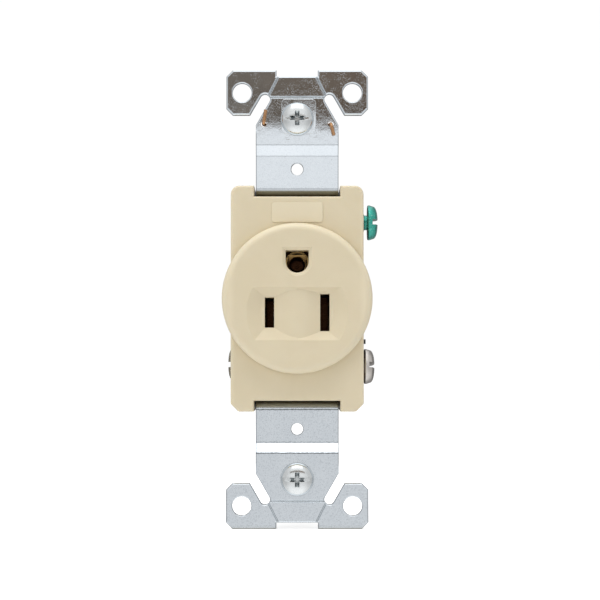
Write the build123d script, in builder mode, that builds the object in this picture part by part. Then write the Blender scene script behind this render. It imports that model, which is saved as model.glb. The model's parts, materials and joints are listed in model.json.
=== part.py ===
"""Single 15 A / 125 V wall receptacle on a wrap-around mounting strap, ground hole up.

Millimetres. The origin is the centre of the device on the wall plane, which the rear faces of the
ears lie on. +Z is up, -Y points out of the wall towards the user and +X is the user's right.
A "height" is a distance in front of the wall plane, so height h is the plane Y = -h.
"""
from build123d import *
import math
import os

os.makedirs("parts", exist_ok=True)

# ---- driving dimensions ------------------------------------------------------------------------
# device standard
MOUNT_SCREW_Z = 41.67        # half of the 83.34 mm between the box screws
PLATE_SCREW_Z = 30.16        # half of the 60.33 mm between the cover-plate screws
BLADE_SPACING = 12.7         # between the two blade slots
GROUND_RISE = 11.9           # from the blade line up to the ground pin
BLADE_Z = -3.3               # blade line
GROUND_Z = BLADE_Z + GROUND_RISE

# moulded body
FACE_HEIGHT = 6.6            # front of the round face
FACE_RADIUS = 17.3
SHOULDER_HEIGHT = 3.3        # front of the rectangular shoulder
BODY_WIDTH = 30.65
BODY_LENGTH = 52.1
JOINT_HEIGHT = -4.5          # where the face cover meets the back body
BODY_REAR = -23.0
WALL = 2.0
TOP_CORNER_ROUND = 2.0
LOW_CORNER_CHAMFER = 1.8
LOW_CORNER_ROUND = 0.7
CHANNEL_WIDTH = 19.9         # end channels that the strap legs run in
CHANNEL_FLOOR_Z = 23.55

# strap
STRAP_THICKNESS = 1.3
STRAP_WIDTH = 19.2
STRAP_HALF_LENGTH = 53.1
STRAP_LEG_Z = 23.7           # inner face of the legs
INNER_FLAT_HEIGHT = 0.1      # front of the flats next to the body
EAR_HALF_WIDTH = 16.45
EAR_HOLE_X = 12.8
EAR_HOLE_Z = 47.85

# terminals: x is where the underside of each head stands at rest
TERMINAL_FACE_X = 13.5       # outer face of the terminal plates
TERMINAL_HEIGHT = -10.0
LINE_TERMINAL_Z = {-1: -15.3, 1: -15.8}   # on the hot side and on the neutral side
GROUND_TERMINAL_Z = 18.4
HOT_HEAD_X = 13.9
NEUTRAL_HEAD_X = 15.85
GROUND_HEAD_X = 16.65
TERMINALS = ((-1, LINE_TERMINAL_Z[-1]), (1, LINE_TERMINAL_Z[1]), (1, GROUND_TERMINAL_Z))

ASSEMBLY_SCREW_Z = 20.3
BRASS = 0.8                  # thickness of the contact strip
RUNNING = 0.05               # radial clearance of a turning screw
SNUG = 0.05                  # clearance around a fixed fastener


def facing(height):
    """The plane at a height in front of the wall, seen from the front: x is X and y is Z."""
    return Plane.XZ.offset(height)


# ---- face cover --------------------------------------------------------------------------------
SLOT_WIDTH = 2.15
HOT_SLOT = 6.9
NEUTRAL_SLOT = 8.5
GROUND_HOLE_RADIUS = 2.64
GROUND_FLAT = 2.35           # from the pin axis up to the flat side of the ground hole
GROUND_DROP = 0.15           # from the pin axis down to the centre of its round bottom
BEVEL_WIDTH = 0.75           # bevel around the ground hole
BEVEL_DEPTH = 0.55
FUNNEL_DEPTH = 1.35
FUNNEL_REACH = 11.6          # radius of the conical outer slope where it runs out on the face
FUNNEL_FLOOR_RADIUS = 8.4    # and where it meets the floor of the funnel
FUNNEL_TOP = 2.45
FUNNEL_BOTTOM = -9.65
FUNNEL_RIDGE_RADIUS = 10.0
FUNNEL_LAND = 0.2            # flat rim around each slot
SHOULDER_ROUND = 0.5
FACE_ROUND = 1.6
PANEL_Z = 19.9               # blank raised panel on the shoulder, above the face
PANEL_WIDTH = 11.8
PANEL_LENGTH = 4.6
PANEL_CORNER = 0.6
PANEL_RISE = 0.15
FACE_WALL = 3.0
DISC_SKIRT = 1.6             # height of the back of the overhanging disc
CAVITY_HEIGHT = 1.0
CAVITY_HALF_LENGTH = 21.8
CAVITY_CORNER = 1.5
DOME_RADIUS = 12.8           # round pocket behind the face
PILOT_DEPTH = 4.3            # of the assembly screws' holes
GUIDE_WALL = 1.3             # moulded guide around each opening, inside
GUIDE_HEIGHT = -0.5
BOSS_RADIUS = 3.0
ASSEMBLY_SHANK = 1.5

SLOTS = ((-1, HOT_SLOT), (1, NEUTRAL_SLOT))   # side of the centre line, slot length


def body_outline():
    """Rectangle, round-cornered above and chamfered below, with a channel for the strap at each end."""
    with BuildSketch() as outline:
        Rectangle(BODY_WIDTH, BODY_LENGTH)
        fillet(outline.vertices().group_by(Axis.Y)[-1], TOP_CORNER_ROUND)
        chamfer(outline.vertices().group_by(Axis.Y)[0], LOW_CORNER_CHAMFER)
        lowest = outline.vertices().filter_by(lambda vertex: vertex.Y < 0)
        fillet(lowest, LOW_CORNER_ROUND)
        channel_depth = BODY_LENGTH / 2 - CHANNEL_FLOOR_Z
        for end in (-1, 1):
            with Locations((0, end * (CHANNEL_FLOOR_Z + channel_depth))):
                Rectangle(CHANNEL_WIDTH, 2 * channel_depth, mode=Mode.SUBTRACT)
    return outline.sketch


def ground_hole(margin=0.0):
    """Round-bottomed hole with a flat top, drawn about the pin axis and widened by a margin."""
    radius = GROUND_HOLE_RADIUS + margin
    flat = GROUND_FLAT + margin
    with BuildSketch() as hole:
        with BuildLine():
            Polyline((radius, -GROUND_DROP), (radius, flat), (-radius, flat), (-radius, -GROUND_DROP))
            ThreePointArc((-radius, -GROUND_DROP), (0, -GROUND_DROP - radius), (radius, -GROUND_DROP))
        make_face()
    return hole.sketch


def blade_funnel():
    """Cutter for the hollow around the slots: a ridge between two floors, sloping ends, a conical rim."""
    flat = SLOT_WIDTH / 2 + FUNNEL_LAND
    slot_x = BLADE_SPACING / 2
    top = -FACE_HEIGHT
    bottom = top + FUNNEL_DEPTH
    above = top - 1
    widening = (FUNNEL_REACH - FUNNEL_FLOOR_RADIUS) / FUNNEL_DEPTH
    outside = FUNNEL_REACH + widening
    with BuildPart() as troughs:
        with BuildSketch(Plane.XY.offset(FUNNEL_BOTTOM)) as section:
            with BuildLine():
                Polyline(
                    (0, top), (slot_x - flat, bottom), (outside, bottom), (outside, above),
                    (-outside, above), (-outside, bottom), (-slot_x + flat, bottom), (0, top),
                )
            make_face()
            ridge = section.vertices().sort_by_distance((0, top, 0))[0]
            fillet(ridge, FUNNEL_RIDGE_RADIUS)
        extrude(amount=FUNNEL_TOP - FUNNEL_BOTTOM)
    with BuildPart() as ends:
        for side, slot in SLOTS:
            edge = slot / 2 + FUNNEL_LAND
            with BuildSketch(Plane.YZ):
                with BuildLine():
                    Polyline(
                        (above, FUNNEL_TOP), (top, FUNNEL_TOP), (bottom, BLADE_Z + edge),
                        (bottom, BLADE_Z - edge), (top, FUNNEL_BOTTOM), (above, FUNNEL_BOTTOM),
                        close=True,
                    )
                make_face()
            extrude(amount=side * outside)
    with BuildPart() as rim:
        with BuildSketch(Plane.YZ):
            with BuildLine():
                Polyline(
                    (bottom, BLADE_Z), (bottom, BLADE_Z + FUNNEL_FLOOR_RADIUS), (above, BLADE_Z + outside),
                    (above, BLADE_Z), close=True,
                )
            make_face()
        revolve(axis=Axis((0, 0, BLADE_Z), (0, 1, 0)))
    return troughs.part & ends.part & rim.part


funnel = blade_funnel()

with BuildPart() as face_cover:
    with BuildSketch(facing(SHOULDER_HEIGHT)):
        add(body_outline())
    extrude(amount=JOINT_HEIGHT - SHOULDER_HEIGHT)
    front_edges = face_cover.faces().filter_by(Axis.Y).sort_by(Axis.Y)[0].edges()
    fillet(front_edges, SHOULDER_ROUND)
    with BuildSketch(facing(DISC_SKIRT)):
        Circle(FACE_RADIUS)
    extrude(amount=FACE_HEIGHT - DISC_SKIRT)
    rim = face_cover.faces().filter_by(Axis.Y).sort_by(Axis.Y)[0].edges()
    fillet(rim, FACE_ROUND)
    # blank raised panel above the face
    with BuildSketch(facing(SHOULDER_HEIGHT)):
        with Locations((0, PANEL_Z)):
            RectangleRounded(PANEL_WIDTH, PANEL_LENGTH, PANEL_CORNER)
    extrude(amount=PANEL_RISE)
    # inside of the shell
    with BuildSketch(facing(JOINT_HEIGHT)):
        RectangleRounded(BODY_WIDTH - 2 * WALL, 2 * CAVITY_HALF_LENGTH, CAVITY_CORNER)
    extrude(amount=CAVITY_HEIGHT - JOINT_HEIGHT, mode=Mode.SUBTRACT)
    with BuildSketch(facing(CAVITY_HEIGHT)):
        Circle(DOME_RADIUS)
    extrude(amount=FACE_HEIGHT - FACE_WALL - CAVITY_HEIGHT, mode=Mode.SUBTRACT)
    # guides behind the openings, and bosses for the assembly screws
    with BuildSketch(facing(FACE_HEIGHT - FACE_WALL)):
        for side, slot in SLOTS:
            with Locations((side * BLADE_SPACING / 2, BLADE_Z)):
                Rectangle(SLOT_WIDTH + 2 * GUIDE_WALL, slot + 2 * GUIDE_WALL)
        with Locations((0, GROUND_Z)):
            Circle(GROUND_HOLE_RADIUS + GUIDE_WALL)
    extrude(amount=GUIDE_HEIGHT - FACE_HEIGHT + FACE_WALL)
    with BuildSketch(facing(CAVITY_HEIGHT)):
        with Locations((0, ASSEMBLY_SCREW_Z), (0, -ASSEMBLY_SCREW_Z)):
            Circle(BOSS_RADIUS)
    extrude(amount=JOINT_HEIGHT - CAVITY_HEIGHT)
    with BuildSketch(facing(JOINT_HEIGHT)):
        with Locations((0, ASSEMBLY_SCREW_Z), (0, -ASSEMBLY_SCREW_Z)):
            Circle(ASSEMBLY_SHANK + SNUG)
    extrude(amount=PILOT_DEPTH, mode=Mode.SUBTRACT)
    # openings
    add(funnel, mode=Mode.SUBTRACT)
    with BuildSketch(facing(FACE_HEIGHT)):
        for side, slot in SLOTS:
            with Locations((side * BLADE_SPACING / 2, BLADE_Z)):
                Rectangle(SLOT_WIDTH, slot)
        with Locations((0, GROUND_Z)):
            add(ground_hole())
    extrude(amount=GUIDE_HEIGHT - FACE_HEIGHT, mode=Mode.SUBTRACT)
    with BuildSketch(facing(FACE_HEIGHT)):
        with Locations((0, GROUND_Z)):
            add(ground_hole(BEVEL_WIDTH))
    with BuildSketch(facing(FACE_HEIGHT - BEVEL_DEPTH)):
        with Locations((0, GROUND_Z)):
            add(ground_hole())
    loft(ruled=True, mode=Mode.SUBTRACT)


# ---- back body ---------------------------------------------------------------------------------
POCKET_GAP = 0.25
CHAMBER_FLOOR = -15.3        # the line contacts and the ground arm rest on this
LEAF_SPREAD = 3.0            # half width of a blade contact's base
GROUND_BASE_HALF = 3.4
GROUND_BASE_LENGTH = 8.0
RECESS_HALF = 5.3
RECESS_REAR = -15.5
ARM_LOW = GROUND_Z - 0.8
ARM_HIGH = GROUND_Z + 3.2
ARM_INNER_X = 9.4
PLATE_HALF = 3.6             # half width of a terminal plate
SCREW_ROOM_RADIUS = 2.5
SCREW_ROOM_DEPTH = 7.5
REAR_CHAMFER = 0.7
SINK_X = 12.2                # coring pockets in the rear face
SINK_PITCH = 11.5
SINK_WIDTH = 3.0
SINK_LENGTH = 9.0
SINK_CORNER = 0.8
SINK_DEPTH = 1.5
RIB_Z = LINE_TERMINAL_Z[1] + RECESS_HALF + 0.6
RIB_LENGTH = 9.0
RIB_WIDTH = 1.1
RIB_CORNER = 0.4
RIB_RISE = 0.75


def box_sketch(x_low, x_high, z_low, z_high):
    """A rectangle by its four sides, in a facing plane."""
    with BuildSketch() as patch:
        with Locations(((x_low + x_high) / 2, (z_low + z_high) / 2)):
            Rectangle(abs(x_high - x_low), z_high - z_low)
    return patch.sketch


with BuildPart() as back_body:
    with BuildSketch(facing(JOINT_HEIGHT)):
        add(body_outline())
    extrude(amount=BODY_REAR - JOINT_HEIGHT)
    rear_face = back_body.faces().filter_by(Axis.Y).sort_by(Axis.Y)[-1]
    chamfer(rear_face.edges(), REAR_CHAMFER)
    # chambers, open to the front
    with BuildSketch(facing(JOINT_HEIGHT)):
        for side, slot in SLOTS:
            with Locations((side * BLADE_SPACING / 2, BLADE_Z)):
                Rectangle(2 * (LEAF_SPREAD + POCKET_GAP), slot + 2 * POCKET_GAP)
            add(box_sketch(
                side * (BLADE_SPACING / 2 + LEAF_SPREAD - POCKET_GAP), side * TERMINAL_FACE_X,
                LINE_TERMINAL_Z[side] - PLATE_HALF - POCKET_GAP, BLADE_Z + slot / 2 + POCKET_GAP,
            ))
        add(box_sketch(
            0, TERMINAL_FACE_X, ARM_LOW - POCKET_GAP, ARM_HIGH + POCKET_GAP,
        ))
        add(box_sketch(
            ARM_INNER_X - POCKET_GAP, TERMINAL_FACE_X,
            ARM_HIGH, GROUND_TERMINAL_Z + PLATE_HALF + POCKET_GAP,
        ))
    extrude(amount=CHAMBER_FLOOR - JOINT_HEIGHT, mode=Mode.SUBTRACT)
    # ground chamber, right through to the strap
    with BuildSketch(facing(JOINT_HEIGHT)):
        with Locations((0, GROUND_Z)):
            Rectangle(2 * (GROUND_BASE_HALF + POCKET_GAP), GROUND_BASE_LENGTH + 2 * POCKET_GAP)
    extrude(amount=BODY_REAR - JOINT_HEIGHT, mode=Mode.SUBTRACT)
    # open recesses at the sides, where a wire goes under each terminal head
    with BuildSketch(facing(JOINT_HEIGHT)):
        for side, z in TERMINALS:
            add(box_sketch(side * TERMINAL_FACE_X, side * BODY_WIDTH, z - RECESS_HALF, z + RECESS_HALF))
    extrude(amount=RECESS_REAR - JOINT_HEIGHT, mode=Mode.SUBTRACT)
    # holes for the assembly screws
    with BuildSketch(facing(JOINT_HEIGHT)):
        with Locations((0, ASSEMBLY_SCREW_Z), (0, -ASSEMBLY_SCREW_Z)):
            Circle(ASSEMBLY_SHANK + 2 * SNUG)
    extrude(amount=BODY_REAR - JOINT_HEIGHT, mode=Mode.SUBTRACT)
    # shallow coring pockets beside the strap
    with BuildSketch(facing(BODY_REAR)):
        for side in (-1, 1):
            with GridLocations(0, SINK_PITCH, 1, 3):
                with Locations((side * SINK_X, 0)):
                    RectangleRounded(SINK_WIDTH, SINK_LENGTH, SINK_CORNER)
    extrude(amount=SINK_DEPTH, mode=Mode.SUBTRACT)
    # room for the ends of the terminal screws
    for side, z in TERMINALS:
        with BuildSketch(Plane.YZ.offset(side * TERMINAL_FACE_X)):
            with Locations((-TERMINAL_HEIGHT, z)):
                Circle(SCREW_ROOM_RADIUS)
        extrude(amount=-side * SCREW_ROOM_DEPTH, mode=Mode.SUBTRACT)
    # small rounded rib that marks the neutral terminal
    with BuildSketch(Plane.YZ.offset(BODY_WIDTH / 2)):
        with Locations((-TERMINAL_HEIGHT, RIB_Z)):
            RectangleRounded(RIB_LENGTH, RIB_WIDTH, RIB_CORNER)
    extrude(amount=RIB_RISE)


# ---- mounting strap ----------------------------------------------------------------------------
BEND_INSIDE = 0.6
JOG_START_Z = 33.2
JOG_END_Z = 35.7
EAR_LOW_Z = 42.6
NECK_END_Z = 51.7
CENTRE_NOTCH_HALF = 4.8
EAR_CHAMFER = 1.5
RELIEF_WIDTH = 2.3
RELIEF_END = (7.45, 46.35)   # centre of the round end of the relief slot
RELIEF_ANGLE = 120           # degrees from +X, on the right-hand side
RELIEF_LENGTH = 8.0
PLATE_THREAD_RADIUS = 1.48   # tapped 6-32
CLIP_HOLE_X = 7.8
CLIP_HOLE_Z = 40.6
PAD_HEIGHT = 0.15            # coined pad under the upper screw head, at its middle
PAD_WIDTH = 7.9
PAD_LENGTH = 8.0
PAD_TILT = 0.5               # degrees; its upper edge stands further forward
PAD_CENTRE = (0.35, 42.3)
PAD_CORNER = 1.0
CLIP_HOLE_RADIUS = 0.7
EAR_PLATE_START_Z = 38.0     # the flat end plate starts here, above the jog
JOG_SHIFT = 0.3              # keeps the strip as thick on the jog's slope as elsewhere
MOUNT_SLOT_LENGTH = 6.9
MOUNT_SLOT_WIDTH = 4.1
EAR_HOLE_RADIUS = 2.2
EAR_HOLE_ROUND = 0.25        # soft front edge of the holes in the ears
SCORE_Z = 46.75
SCORE_WIDTH = 0.55
SCORE_DEPTH = 0.3
SCORE_TAPER = 35
SCORE_DIAGONAL = (5.58, 49.25)  # centre of the slanted score line
SCORE_LENGTH = 5.1
SCORE_ANGLE = 27
EDGE_ROUND = 0.4             # rolled-over front edge of the stamping
JOG_ROUND = 0.5              # on the outer side of each bend of the jog
RIVET_RADIUS = 1.5


def strap_end_outline():
    """Upper end of the strap from the front: neck, ears and the slanted relief slots."""
    ear_mid_z = (EAR_LOW_Z + STRAP_HALF_LENGTH) / 2
    with BuildSketch() as outline:
        with Locations((0, ear_mid_z)):
            Rectangle(2 * EAR_HALF_WIDTH, STRAP_HALF_LENGTH - EAR_LOW_Z)
        chamfer(outline.vertices(), EAR_CHAMFER)
        add(box_sketch(-STRAP_WIDTH / 2, STRAP_WIDTH / 2, EAR_PLATE_START_Z, NECK_END_Z))
        add(
            box_sketch(-CENTRE_NOTCH_HALF, CENTRE_NOTCH_HALF, NECK_END_Z, STRAP_HALF_LENGTH + 1),
            mode=Mode.SUBTRACT,
        )
        for side in (-1, 1):
            slot_end = Vector(side * RELIEF_END[0], RELIEF_END[1])
            along = Vector(-side * 0.5, 0.866)
            middle = slot_end - along * (RELIEF_LENGTH / 2)
            with Locations((middle.X, middle.Y)):
                SlotCenterToCenter(
                    RELIEF_LENGTH, RELIEF_WIDTH, rotation=90 + side * (RELIEF_ANGLE - 90),
                    mode=Mode.SUBTRACT,
                )
    return outline.sketch


def screw_pad():
    """Low pad that leans forward at the top, with the slot for the screw through it."""
    middle = (0, -STRAP_THICKNESS - PAD_HEIGHT, MOUNT_SCREW_Z)
    with BuildPart() as pad:
        with BuildSketch(facing(STRAP_THICKNESS)):
            with Locations(PAD_CENTRE):
                RectangleRounded(PAD_WIDTH, PAD_LENGTH, PAD_CORNER)
            with Locations((0, MOUNT_SCREW_Z)):
                SlotOverall(MOUNT_SLOT_LENGTH, MOUNT_SLOT_WIDTH, mode=Mode.SUBTRACT)
        extrude(amount=2 * PAD_HEIGHT)
        lean = Vector(0, -1, 0).rotate(Axis.X, PAD_TILT)
        split(bisect_by=Plane(origin=middle, z_dir=lean), keep=Keep.BOTTOM)
    return pad.part


with BuildPart() as mounting_strap:
    # upper half of the bent strip, from its side profile
    with BuildSketch(Plane.YZ) as profile:
        front_bend = (-INNER_FLAT_HEIGHT, STRAP_LEG_Z)
        front_bend_inside = (STRAP_THICKNESS - INNER_FLAT_HEIGHT, STRAP_LEG_Z + STRAP_THICKNESS)
        rear_bend = (-BODY_REAR + STRAP_THICKNESS, STRAP_LEG_Z + STRAP_THICKNESS)
        rear_bend_inside = (-BODY_REAR, STRAP_LEG_Z)
        with BuildLine():
            Polyline(
                (-BODY_REAR, 0), rear_bend_inside, front_bend,
                (-INNER_FLAT_HEIGHT, JOG_START_Z), (-STRAP_THICKNESS, JOG_END_Z),
                (-STRAP_THICKNESS, EAR_PLATE_START_Z), (0, EAR_PLATE_START_Z),
                (0, JOG_END_Z + JOG_SHIFT), (STRAP_THICKNESS - INNER_FLAT_HEIGHT, JOG_START_Z + JOG_SHIFT),
                front_bend_inside, rear_bend, (-BODY_REAR + STRAP_THICKNESS, 0),
                close=True,
            )
        make_face()
        for corner, radius in (
            (front_bend, BEND_INSIDE + STRAP_THICKNESS),
            (rear_bend, BEND_INSIDE + STRAP_THICKNESS),
            (front_bend_inside, BEND_INSIDE),
            (rear_bend_inside, BEND_INSIDE),
            ((-INNER_FLAT_HEIGHT, JOG_START_Z), JOG_ROUND),
            ((-STRAP_THICKNESS, JOG_END_Z), JOG_ROUND),
        ):
            fillet(profile.vertices().sort_by_distance((*corner, 0))[0], radius)
    extrude(amount=STRAP_WIDTH / 2, both=True)
    # flat end with the ears
    with BuildSketch(facing(0)):
        add(strap_end_outline())
        with Locations((0, MOUNT_SCREW_Z)):
            SlotOverall(MOUNT_SLOT_LENGTH, MOUNT_SLOT_WIDTH, mode=Mode.SUBTRACT)
        with Locations((EAR_HOLE_X, EAR_HOLE_Z), (-EAR_HOLE_X, EAR_HOLE_Z)):
            Circle(EAR_HOLE_RADIUS, mode=Mode.SUBTRACT)
    extrude(amount=STRAP_THICKNESS)
    front = mounting_strap.faces().filter_by(Axis.Y).group_by(Axis.Y)[0]
    rim = front.sort_by(Axis.Z)[-1].outer_wire().edges()
    rolled = rim.filter_by(lambda edge: edge.center().Z > EAR_LOW_Z - 1)
    fillet(rolled, EDGE_ROUND)
    front = mounting_strap.faces().filter_by(Axis.Y).group_by(Axis.Y)[0].sort_by(Axis.Z)[-1]
    circles = front.edges().filter_by(GeomType.CIRCLE)
    fillet(circles.filter_by(lambda edge: math.isclose(edge.radius, EAR_HOLE_RADIUS)), EAR_HOLE_ROUND)
    # score lines, which let the ears snap off
    across = 2 * RELIEF_END[0] - RELIEF_WIDTH
    for centre, length, angle in (
        ((0, SCORE_Z), across, 90),
        ((SCORE_DIAGONAL[0], SCORE_DIAGONAL[1]), SCORE_LENGTH, SCORE_ANGLE),
        ((-SCORE_DIAGONAL[0], SCORE_DIAGONAL[1]), SCORE_LENGTH, -SCORE_ANGLE),
    ):
        with BuildSketch(facing(STRAP_THICKNESS)):
            with Locations(centre):
                Rectangle(SCORE_WIDTH, length, rotation=angle)
        extrude(amount=-SCORE_DEPTH, taper=SCORE_TAPER, mode=Mode.SUBTRACT)
    # tapped hole for the cover plate, and hole for the assembly screw
    with BuildSketch(facing(INNER_FLAT_HEIGHT)):
        with Locations((0, PLATE_SCREW_Z)):
            Circle(PLATE_THREAD_RADIUS)
    extrude(amount=-STRAP_THICKNESS, mode=Mode.SUBTRACT)
    with BuildSketch(facing(BODY_REAR)):
        with Locations((0, ASSEMBLY_SCREW_Z)):
            Circle(ASSEMBLY_SHANK + 2 * SNUG)
    extrude(amount=-STRAP_THICKNESS, mode=Mode.SUBTRACT)
    mirror(about=Plane.XY)
    # upper end only: coined pad under the screw head, and two holes for the grounding wire
    add(screw_pad())
    with BuildSketch(facing(STRAP_THICKNESS)):
        with Locations((CLIP_HOLE_X, CLIP_HOLE_Z), (-CLIP_HOLE_X, CLIP_HOLE_Z)):
            Circle(CLIP_HOLE_RADIUS)
    extrude(amount=-STRAP_THICKNESS, mode=Mode.SUBTRACT)
    # rivet hole of the ground contact
    with BuildSketch(facing(BODY_REAR)):
        with Locations((0, GROUND_Z)):
            Circle(RIVET_RADIUS + SNUG)
    extrude(amount=-STRAP_THICKNESS, mode=Mode.SUBTRACT)


# ---- contacts ----------------------------------------------------------------------------------
LEAF_REST_GAP = 0.8          # half of the gap at the pinch, opened to a blade's thickness
LEAF_FRONT = 3.2             # y of the flared tips
LEAF_PINCH = 5.4
LEAF_ELBOW = 9.5
TERMINAL_PLATE = 1.0         # thickness
TERMINAL_FRONT = 6.0         # y of the terminal plates' front edge
SCREW_RADIUS = 2.08          # 8-32
CONTACT_BASE = -CHAMBER_FLOOR - BRASS   # y of the front of the strip on the chamber floor
SOCKET_LENGTH = 6.0
SOCKET_FRONT = 8.2           # y of the front plate around the ground pin
COLLAR_MOUTH = 2.35          # radius of the collar where the pin enters, at y COLLAR_FRONT
COLLAR_FRONT = 6.2
COLLAR_THROAT = 1.7          # radius of the collar's narrow end, at y COLLAR_REAR
COLLAR_REAR = 9.4
COLLAR_WALL = 0.5


def terminal_plate(side, z):
    """Plate that stands forward at the side of the body, tapped for its screw."""
    inner_x = side * (TERMINAL_FACE_X - TERMINAL_PLATE)
    with BuildPart() as plate:
        with BuildSketch(facing(CHAMBER_FLOOR)):
            add(box_sketch(inner_x, side * TERMINAL_FACE_X, z - PLATE_HALF, z + PLATE_HALF))
        extrude(amount=-TERMINAL_FRONT - CHAMBER_FLOOR)
        with BuildSketch(Plane.YZ.offset(inner_x)):
            with Locations((-TERMINAL_HEIGHT, z)):
                Circle(SCREW_RADIUS + RUNNING)
        extrude(amount=side * TERMINAL_PLATE, mode=Mode.SUBTRACT)
    return plate.part


def blade_contact(side, slot):
    """Double-wipe contact: two sprung leaves on a base, and a strip to the terminal plate."""
    centre = side * BLADE_SPACING / 2
    width = slot - 0.4
    base = LEAF_SPREAD
    inner_line = [
        (1.5, LEAF_FRONT), (LEAF_REST_GAP, LEAF_PINCH), (base - BRASS, LEAF_ELBOW),
        (base - BRASS, CONTACT_BASE),
    ]
    outer_line = [(x + BRASS, y) for x, y in reversed(inner_line)]
    with BuildPart() as contact:
        for leaf in (-1, 1):
            with BuildSketch(Plane.XY.offset(BLADE_Z - width / 2)):
                with BuildLine():
                    Polyline(*[(centre + leaf * x, y) for x, y in inner_line + outer_line], close=True)
                make_face()
            extrude(amount=width)
        with BuildSketch(facing(CHAMBER_FLOOR)):
            with Locations((centre, BLADE_Z)):
                Rectangle(2 * base, width)
            add(box_sketch(
                centre + side * base, side * TERMINAL_FACE_X,
                LINE_TERMINAL_Z[side] - PLATE_HALF, BLADE_Z + width / 2,
            ))
        extrude(amount=BRASS)
        add(terminal_plate(side, LINE_TERMINAL_Z[side]))
    return contact


hot_contact = blade_contact(-1, HOT_SLOT)
neutral_contact = blade_contact(1, NEUTRAL_SLOT)

with BuildPart() as ground_contact:
    half = GROUND_BASE_HALF
    # base on the strap, two walls, and a front plate around the pin
    with BuildSketch(facing(BODY_REAR)):
        with Locations((0, GROUND_Z)):
            Rectangle(2 * half, GROUND_BASE_LENGTH)
            Circle(RIVET_RADIUS + SNUG, mode=Mode.SUBTRACT)
    extrude(amount=BRASS)
    with BuildSketch(facing(BODY_REAR)):
        for side in (-1, 1):
            with Locations((side * (half - BRASS / 2), GROUND_Z)):
                Rectangle(BRASS, SOCKET_LENGTH)
    extrude(amount=-SOCKET_FRONT - BODY_REAR)
    with BuildSketch(facing(-SOCKET_FRONT - BRASS)):
        with Locations((0, GROUND_Z)):
            Rectangle(2 * half, SOCKET_LENGTH)
    extrude(amount=BRASS)
    # tapered collar that grips the pin
    collar_axis = Axis((0, 0, GROUND_Z), (0, 1, 0))
    with BuildSketch(Plane.XY.offset(GROUND_Z)):
        with BuildLine():
            Polyline(
                (COLLAR_MOUTH, COLLAR_FRONT), (COLLAR_THROAT, COLLAR_REAR),
                (COLLAR_THROAT + COLLAR_WALL, COLLAR_REAR), (COLLAR_MOUTH + COLLAR_WALL, COLLAR_FRONT),
                close=True,
            )
        make_face()
    revolve(axis=collar_axis)
    with BuildSketch(Plane.XY.offset(GROUND_Z)):
        with BuildLine():
            Polyline(
                (0, COLLAR_FRONT), (COLLAR_MOUTH, COLLAR_FRONT), (COLLAR_THROAT, COLLAR_REAR),
                (0, COLLAR_REAR), close=True,
            )
        make_face()
    revolve(axis=collar_axis, mode=Mode.SUBTRACT)
    # arm to the terminal plate
    with BuildSketch(facing(CHAMBER_FLOOR)):
        add(box_sketch(half - BRASS, TERMINAL_FACE_X, ARM_LOW, ARM_HIGH))
        add(box_sketch(ARM_INNER_X, TERMINAL_FACE_X, ARM_LOW, GROUND_TERMINAL_Z + PLATE_HALF))
    extrude(amount=BRASS)
    add(terminal_plate(1, GROUND_TERMINAL_Z))


# ---- fasteners ---------------------------------------------------------------------------------
MOUNT_HEAD_RADIUS = 3.82
MOUNT_HEAD_HEIGHT = 2.1
MOUNT_SHANK_RADIUS = 1.75    # 6-32
MOUNT_NECK_RADIUS = 1.5
MOUNT_NECK_END = 5.0         # y where the neck ends and the thread starts, with the screw pushed home
MOUNT_LENGTH = 19.0
TERMINAL_HEAD_RADIUS = 4.15
TERMINAL_HEAD_HEIGHT = 2.45
TERMINAL_LENGTH = 7.0
TERMINAL_NECK_RADIUS = 1.75
NECK_LENGTH = 0.8
SLOT_DEPTH = 1.3
DRIVER_SLOT_WIDTH = 1.0
CROSS_WIDTH = 0.9
CROSS_SPAN = 3.2
CROSS_DEPTH = 1.3
ASSEMBLY_HEAD_RADIUS = 2.8
ASSEMBLY_HEAD_HEIGHT = 1.9
ASSEMBLY_LENGTH = 23.6
TIP_CHAMFER = 0.6


def pan_head(radius, height):
    """Outline of a domed head, as (distance from the axis, distance along it)."""
    return [
        (0, height), (radius * 0.5, height * 0.95), (radius * 0.8, height * 0.78),
        (radius * 0.96, height * 0.5), (radius, height * 0.2), (radius, 0),
    ]


def plain_shank(radius, length):
    """Outline of a shank with a chamfered tip, below the head."""
    return [(radius, 0), (radius, TIP_CHAMFER - length), (radius - TIP_CHAMFER, -length), (0, -length)]


def necked_shank(neck, neck_length, radius, length):
    """The same, with a thinner neck below the head."""
    return [(neck, 0), (neck, -neck_length), (radius, -neck_length), *plain_shank(radius, length)[1:]]


def turned_piece(outline, under_head, axis, slots=(), depth=0.0):
    """Solid turned about an axis, with driver slots of (length, width, angle) cut into its head."""
    axis_vector = Vector(*axis)
    across = Vector(0, 0, 1)
    section = Plane(origin=under_head, x_dir=across, z_dir=across.cross(axis_vector))
    head_top = Vector(*under_head) + axis_vector * outline[0][1]
    with BuildPart() as turned:
        with BuildSketch(section):
            with BuildLine():
                Polyline(*outline, close=True)
            make_face()
        revolve(axis=Axis(under_head, axis))
        for length, width, angle in slots:
            with BuildSketch(Plane(origin=head_top, x_dir=across, z_dir=axis_vector)):
                Rectangle(length, width, rotation=angle)
            extrude(amount=-depth, mode=Mode.SUBTRACT)
    return turned


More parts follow.
